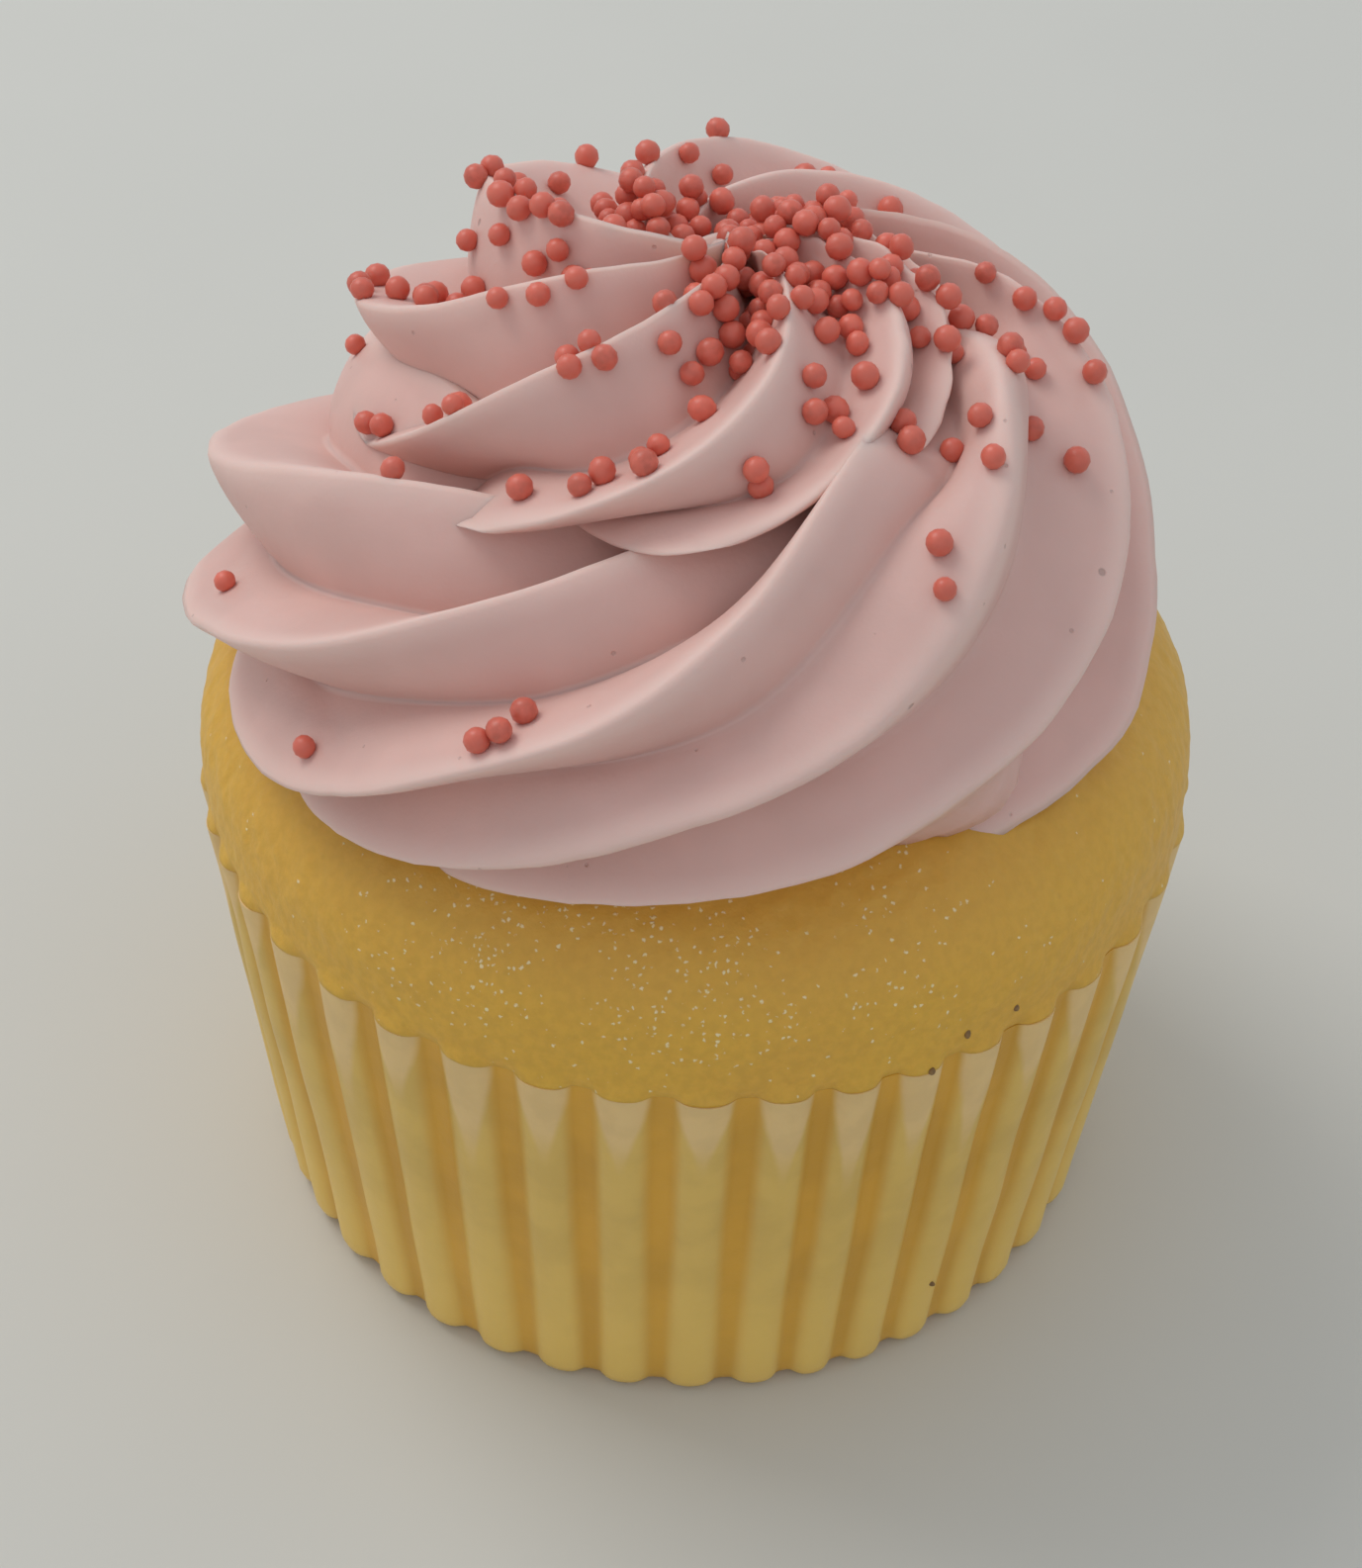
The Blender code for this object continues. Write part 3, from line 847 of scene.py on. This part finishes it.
def rope_grid(settings, sponge):
    """The piped rope, steps by columns: a star section carried along a rising spiral.

    The section is an ellipse of (radius, height) with one half-height above its waist and another
    below it, where its power grows with the belly. Its teeth are cut inwards by depth * fall, along
    the ellipse's normal or, below the waist of the upper turn, level. Their crests lean round it by
    lean * (1 - fall) squared. Points that would lie deep inside the sponge's dome are lifted to it.
    """
    columns = star_columns()
    falls = columns[2]
    stations = np.array(ROPE_STATIONS, float)
    azimuths = np.linspace(stations[0, 0], stations[-1, 0], ROPE_STEPS)
    along = azimuths[:, None]
    tracks = [smooth_track(stations[:, 0], stations[:, k] * MM, azimuths)[:, None] for k in range(1, 7)]
    reach_out, reach_in, under, waist, top, cut = tracks
    power = np.interp(azimuths, *np.array(BELLY, float).T)[:, None]
    half_width = 0.5 * (reach_out - reach_in)
    angle = section_angles(azimuths, columns)
    degrees = np.degrees(angle)
    across, tall = np.cos(angle), np.sin(angle)
    below = tall < 0.0
    half_height = np.where(below, waist - under, top - waist)
    full = np.where(below & (across > 0.0), 2.0 / power, 1.0)
    across, tall = np.sign(across) * np.abs(across) ** full, np.sign(tall) * np.abs(tall) ** full
    out = np.cos(angle) / half_width
    up = np.sin(angle) / half_height
    up = up / np.hypot(out, up) * np.where(below, 1.0 - ease(along, *TUCK_AZIMUTHS), 1.0)
    out = np.sqrt(1.0 - up**2) * np.where(across < 0.0, -1.0, 1.0)
    crest = np.clip(1 - falls, 0.0, 1.0)
    fill_place, fill_width, fill_share = FILLED
    filled = fill_share * np.exp(-(((along - fill_place) / fill_width) ** 2))
    cut = cut * settings.tooth_depth * (1.0 - filled * ease(degrees, *FILLED_ANGLES))
    inset = cut_depths(degrees, along, columns[0], falls) * cut
    lean = settings.tooth_lean * cut * crest**2
    reach = 0.5 * (reach_out + reach_in) + half_width * across - inset * out - lean * up
    height = waist + half_height * tall - inset * up
    turn = np.radians(along)
    grid = ring_points(reach, turn, height)
    shift = ease(along, *CENTRE_SHIFT_AZIMUTHS)[..., None]
    start, end = np.array(ROPE_CENTRES)
    grid[..., :2] += start * (1 - shift) + end * shift
    parts = (1.0, ease(along, *TORN_AZIMUTHS) * crest**4, crest**2)
    sway = sum(waves(grid, far, seed) * high * part for (far, high, seed), part in zip(ROPE_WAVES, parts))
    grid = grid + ring_points(out, turn, up) * sway[..., None]
    from_axis = np.hypot(grid[..., 0], grid[..., 1])
    seat = np.where(from_axis < sponge.rim_radius, dome_height(from_axis, sponge) - SEAT_DEPTH, -1.0)
    grid[..., 2] = np.maximum(grid[..., 2], seat)
    return grid, np.tile(crest, (ROPE_STEPS, 1))


def bead_ball():
    """A unit ball of few faces: rings of points at (sin v cos u, sin v sin u, cos v), and two poles."""
    v = np.pi * np.arange(1, 6)[:, None] / 6
    u = TAU * np.arange(12)[None, :] / 12
    rings = ring_points(np.sin(v), u, np.cos(v) + 0 * u)
    points = np.concatenate([rings.reshape(-1, 3), [[0, 0, 1], [0, 0, -1]]])
    return points, [face[::-1] for face in grid_faces(5, 12)]


def balls_mesh(name, centres, sizes, stretches, seed):
    """Many small balls in one mesh: ball i is centre_i + turn_i (unit ball * size_i * stretch_i).

    Each stretch is drawn between the two ends given, along each axis; so is each ball's tone, from 0 to 1.
    """
    rng = np.random.default_rng(seed)
    shapes = np.array(sizes)[:, None] * rng.uniform(*stretches, size=(len(sizes), 3))
    tones = rng.uniform(0, 1, len(sizes))
    rng = np.random.default_rng(seed + 1)
    turns = [Matrix.Rotation(rng.uniform(0, TAU), 3, Vector(rng.normal(size=3))) for _ in centres]
    ball, faces = bead_ball()
    turned = (ball * shapes[:, None]) @ np.array(turns).transpose(0, 2, 1)
    points = (turned + np.array(centres)[:, None]).reshape(-1, 3)
    starts = (len(ball) * np.arange(len(centres))).tolist()
    all_faces = [[i + start for i in face] for start in starts for face in faces]
    return new_mesh(name, points, all_faces, {"tone": np.repeat(tones, len(ball))})


# Beads apart from the heaps: azimuth in degrees and distance from the axis in mm
LONE_BEADS = (
    (196, 31.5), (223, 32.3), (247, 31.8), (250.5, 29.4), (251, 30.4), (303.5, 25), (301, 27.3),
    (340, 24), (341, 21), (355, 24), (353, 26), (320, 19.8), (323, 20.6), (320.5, 21), (342, 18.8),
    (340, 19.8), (341, 16), (338, 15.5), (335, 15), (352, 17), (8, 13), (15, 18), (8, 20), (5, 21.5),
    (3, 22.2), (2, 23), (55, 20), (68, 20), (80, 19.5), (90, 17.5), (90, 21), (98, 16.5), (108, 14),
    (118, 15), (120, 22), (140, 19.4), (143, 19), (138, 18), (145, 16), (146, 14.5), (155, 17),
    (160, 16.6), (168, 15.5), (158, 11), (160, 10), (158, 9), (183, 11.5), (186, 10.8), (185, 9.5),
    (200, 8.8), (205, 11.5), (198, 13.5), (166, 21), (165, 20), (172, 18.5), (168, 23), (159, 23.5),
    (160, 24.8), (162, 19), (164, 17.3), (163, 15.5), (161, 14), (159, 12.8), (163, 12.2), (188, 20.5),
    (185, 21), (205, 18.5), (211, 17.5), (213, 17.2), (221, 12.5), (226, 13), (229, 12.5), (232, 13.5),
    (235, 14.4), (237, 12.8), (241, 13), (252, 8), (267, 8.5), (266, 9.7), (270, 12.8), (290, 11.2),
    (297, 12.8), (299, 13.6), (303, 13.3), (306, 13.9), (310, 14), (299, 15.5), (318, 16.3), (281, 18),
    (279, 18), (258, 17.3), (257, 18.2), (251, 18), (247.5, 18.2), (249, 18), (236, 19.3), (214, 23),
    (204, 8.2), (196, 8.3), (209, 9.4), (350, 14.5), (352, 15.5), (349, 15.8), (356, 18.6), (357, 19.8),
    (35, 25), (62, 27), (85, 25), (110, 27), (128, 29), (75, 22),
)
# Heaps: the share of all heaped beads, the middle in plan, and the spread each way, in mm
HEAPS = (
    (0.31, -6.0, 5.6, 2.9, 1.9),
    (0.33, 3.4, 6.2, 2.8, 2.4),
    (0.26, 2.4, -3.2, 2.3, 2.5),
    (0.10, 8.8, -4.4, 1.8, 1.2),
)
# No bead reaches past this share of the solids' height
PILE_LIMIT = 1.026


def rest_bead(tree, centres, sizes, x, y, own):
    """Where a bead let fall at (x, y) stops, and how far beads under it hold it off the cream."""
    hit, normal, _, _ = tree.ray_cast(Vector((x, y, 0.1)), Vector((0, 0, -1)))
    if hit is None:
        return None, math.inf
    centre = np.array(hit + normal * own * BEAD_SEAT)
    lifted = 0.0
    for other, size in zip(centres, sizes):
        apart = math.hypot(centre[0] - other[0], centre[1] - other[1])
        touch = BEAD_TOUCH * (own + size)
        if apart < touch and abs(centre[2] - other[2]) < touch:
            rise = other[2] + math.sqrt(touch**2 - apart**2) - centre[2]
            if rise > 0.0:
                lifted += rise
                centre[2] += rise
    return centre, lifted


def drop_beads(settings):
    """Drop beads straight down on the frosting; each stops on the cream or on beads below it."""
    rng = np.random.default_rng(4)
    tree = ray_tree("frosting_swirl")
    radius = 0.5 * settings.diameter
    wanted = []
    for azimuth, reach in LONE_BEADS:
        turn = math.radians(azimuth)
        wanted.append((reach * MM * math.cos(turn), reach * MM * math.sin(turn)))
    for share, middle_x, middle_y, spread_x, spread_y in HEAPS:
        for _ in range(round(settings.heap * share)):
            wanted.append((rng.normal(middle_x, spread_x) * MM, rng.normal(middle_y, spread_y) * MM))
    centres, sizes = [], []
    for x, y in wanted:
        own = radius * rng.uniform(*BEAD_SIZES)
        for _ in range(BEAD_ROLLS):
            centre, lifted = rest_bead(tree, centres, sizes, x, y, own)
            if lifted < SETTLED_LIFT * radius:
                break
            x, y = x + rng.normal(0, radius), y + rng.normal(0, radius)
        if lifted < MOST_LIFT * radius and centre[2] + own < PILE_LIMIT * CAD_BOX[1][2]:
            centres.append(centre)
            sizes.append(own)
    return centres, sizes


# Crumbs on the paper and the sponge: azimuth in degrees from the front, height and size in mm
CRUMBS = ((31.5, 36.0, 0.6), (27.0, 34.2, 0.7), (38.0, 36.2, 0.45), (34.7, 7.2, 0.55))


def crumb_places():
    """Where each crumb sits: the first skin met on the way in to the axis at its azimuth and height."""
    trees = [ray_tree(name) for name in ("pleated_case", "sponge_cake")]
    centres = []
    for azimuth, tall, _ in CRUMBS:
        turn = math.radians(azimuth - 90.0)
        start = Vector((0.05 * math.cos(turn), 0.05 * math.sin(turn), tall * MM))
        inwards = Vector((-math.cos(turn), -math.sin(turn), 0.0))
        hits = [tree.ray_cast(start, inwards) for tree in trees]
        centres.append(np.array(min((hit for hit in hits if hit[0]), key=lambda hit: hit[3])[0]))
    return centres


def add_window(scene, power):
    """The soft window: a square light that faces the cupcake."""
    data = bpy.data.lights.new("window", "AREA")
    data.size = WINDOW_SIZE
    data.energy = power
    data.color = WINDOW_COLOUR
    light = bpy.data.objects.new("window", data)
    light.location = WINDOW_PLACE
    light.rotation_euler = (Vector(WINDOW_AIM) - Vector(WINDOW_PLACE)).to_track_quat("-Z", "Y").to_euler()
    scene.collection.objects.link(light)


# ---------------- operators


class CUPCAKE_OT_paper_case(bpy.types.Operator):
    """Build the pleated paper case"""

    bl_idname = "cupcake.paper_case"
    bl_label = "Paper case"

    def execute(self, context):
        settings = context.scene.cupcake_case
        grid, masks = case_grid(settings)
        mesh = mesh_from_grid("pleated_case", grid, masks)
        mesh.set_sharp_from_angle(angle=math.radians(60.0))
        add_piece(mesh, paper_material(settings), "paper_case")
        return {"FINISHED"}


class CUPCAKE_OT_sponge(bpy.types.Operator):
    """Build the sponge cake"""

    bl_idname = "cupcake.sponge"
    bl_label = "Sponge"

    def execute(self, context):
        settings = context.scene.cupcake_sponge
        grid = sponge_grid(settings, context.scene.cupcake_case)
        mesh = mesh_from_grid("sponge_cake", grid[::-1], {})
        add_piece(mesh, sponge_material(settings), "cake")
        return {"FINISHED"}


class CUPCAKE_OT_frosting(bpy.types.Operator):
    """Pipe the frosting"""

    bl_idname = "cupcake.frosting"
    bl_label = "Frosting"

    def execute(self, context):
        settings = context.scene.cupcake_frosting
        grid, crest = rope_grid(settings, context.scene.cupcake_sponge)
        mesh = mesh_from_grid("frosting_swirl", grid, {"crest": crest})
        add_piece(mesh, frosting_material(settings), "frosting")
        return {"FINISHED"}


class CUPCAKE_OT_sugar_beads(bpy.types.Operator):
    """Scatter the sugar beads"""

    bl_idname = "cupcake.sugar_beads"
    bl_label = "Sugar beads"

    def execute(self, context):
        settings = context.scene.cupcake_beads
        centres, sizes = drop_beads(settings)
        mesh = balls_mesh("sugar_beads", centres, sizes, BEAD_STRETCHES, 8)
        add_piece(mesh, bead_material(settings))
        return {"FINISHED"}


class CUPCAKE_OT_crumbs(bpy.types.Operator):
    """Drop a few baked crumbs"""

    bl_idname = "cupcake.crumbs"
    bl_label = "Crumbs"

    def execute(self, context):
        sizes = np.array([crumb[2] for crumb in CRUMBS]) * 0.5 * MM
        mesh = balls_mesh("crumbs", crumb_places(), sizes, CRUMB_STRETCHES, 12)
        add_piece(mesh, crumb_material())
        return {"FINISHED"}


class CUPCAKE_OT_stage(bpy.types.Operator):
    """Set the table, the light and the camera"""

    bl_idname = "cupcake.stage"
    bl_label = "Stage"

    def execute(self, context):
        scene = context.scene
        settings = scene.cupcake_stage
        mesh = bpy.data.meshes.new("table")
        mesh.from_pydata(TABLE_CORNERS, [], [(0, 1, 2, 3)])
        table = bpy.data.objects.new("table", mesh)
        scene.collection.objects.link(table)
        material, tree, shader, place = new_material("pale_table", 0.7, 0.3)
        colour = mottled(tree, place, rgba(settings.floor_colour), rgba(settings.floor_colour, 0.985), 20.0)
        tree.links.new(colour, shader.inputs["Base Color"])
        mesh.materials.append(material)
        add_window(scene, settings.key_power)
        world = bpy.data.worlds.new("soft_sky")
        world.use_nodes = True
        sky = world.node_tree.nodes["Background"]
        sky.inputs["Color"].default_value = SKY_COLOUR
        sky.inputs["Strength"].default_value = settings.sky_strength
        scene.world = world
        scene.view_settings.view_transform = "Standard"
        self.place_camera(scene, settings)
        return {"FINISHED"}

    def place_camera(self, scene, settings):
        """Aim the camera a little above the middle of the case, so the case sits low in the frame."""
        data = bpy.data.cameras.new("camera")
        data.sensor_width = SENSOR_MM
        data.lens = LENS_MM
        data.clip_start = NEAREST_SEEN
        camera = bpy.data.objects.new("camera", data)
        scene.collection.objects.link(camera)
        elevation = settings.camera_elevation
        back = Vector((0, -math.cos(elevation), math.sin(elevation)))
        right = Vector((1, 0, 0))
        up = back.cross(right)
        turn = Matrix((right, up, back)).transposed()
        for angle, axis in CAMERA_TURNS:
            turn = turn @ Matrix.Rotation(math.radians(angle), 3, axis)
        place = Vector((0, 0, CAMERA_AIM_HEIGHT)) + back * settings.camera_distance
        camera.matrix_world = Matrix.Translation(place) @ turn.to_4x4()
        scene.camera = camera


class CUPCAKE_PT_panel(bpy.types.Panel):
    """Buttons that build the cupcake, piece by piece"""

    bl_label = "Cupcake"
    bl_idname = "CUPCAKE_PT_panel"
    bl_space_type = "VIEW_3D"
    bl_region_type = "UI"
    bl_category = "Cupcake"

    def draw(self, context):
        for operator in OPERATORS:
            self.layout.operator(operator.bl_idname)


SETTINGS = {
    "cupcake_case": CaseSettings,
    "cupcake_sponge": SpongeSettings,
    "cupcake_frosting": FrostingSettings,
    "cupcake_beads": BeadSettings,
    "cupcake_stage": StageSettings,
}
OPERATORS = (
    CUPCAKE_OT_paper_case,
    CUPCAKE_OT_sponge,
    CUPCAKE_OT_frosting,
    CUPCAKE_OT_sugar_beads,
    CUPCAKE_OT_crumbs,
    CUPCAKE_OT_stage,
)
CLASSES = (*SETTINGS.values(), *OPERATORS, CUPCAKE_PT_panel)


def register():
    for cls in CLASSES:
        bpy.utils.register_class(cls)
    for name, cls in SETTINGS.items():
        setattr(bpy.types.Scene, name, PointerProperty(type=cls))


def unregister():
    for name in SETTINGS:
        delattr(bpy.types.Scene, name)
    for cls in reversed(CLASSES):
        bpy.utils.unregister_class(cls)


def main():
    register()
    bpy.ops.cupcake.paper_case()
    bpy.ops.cupcake.sponge()
    bpy.ops.cupcake.frosting()
    bpy.ops.cupcake.sugar_beads()
    bpy.ops.cupcake.crumbs()
    bpy.ops.cupcake.stage()


if __name__ == "__main__":
    main()
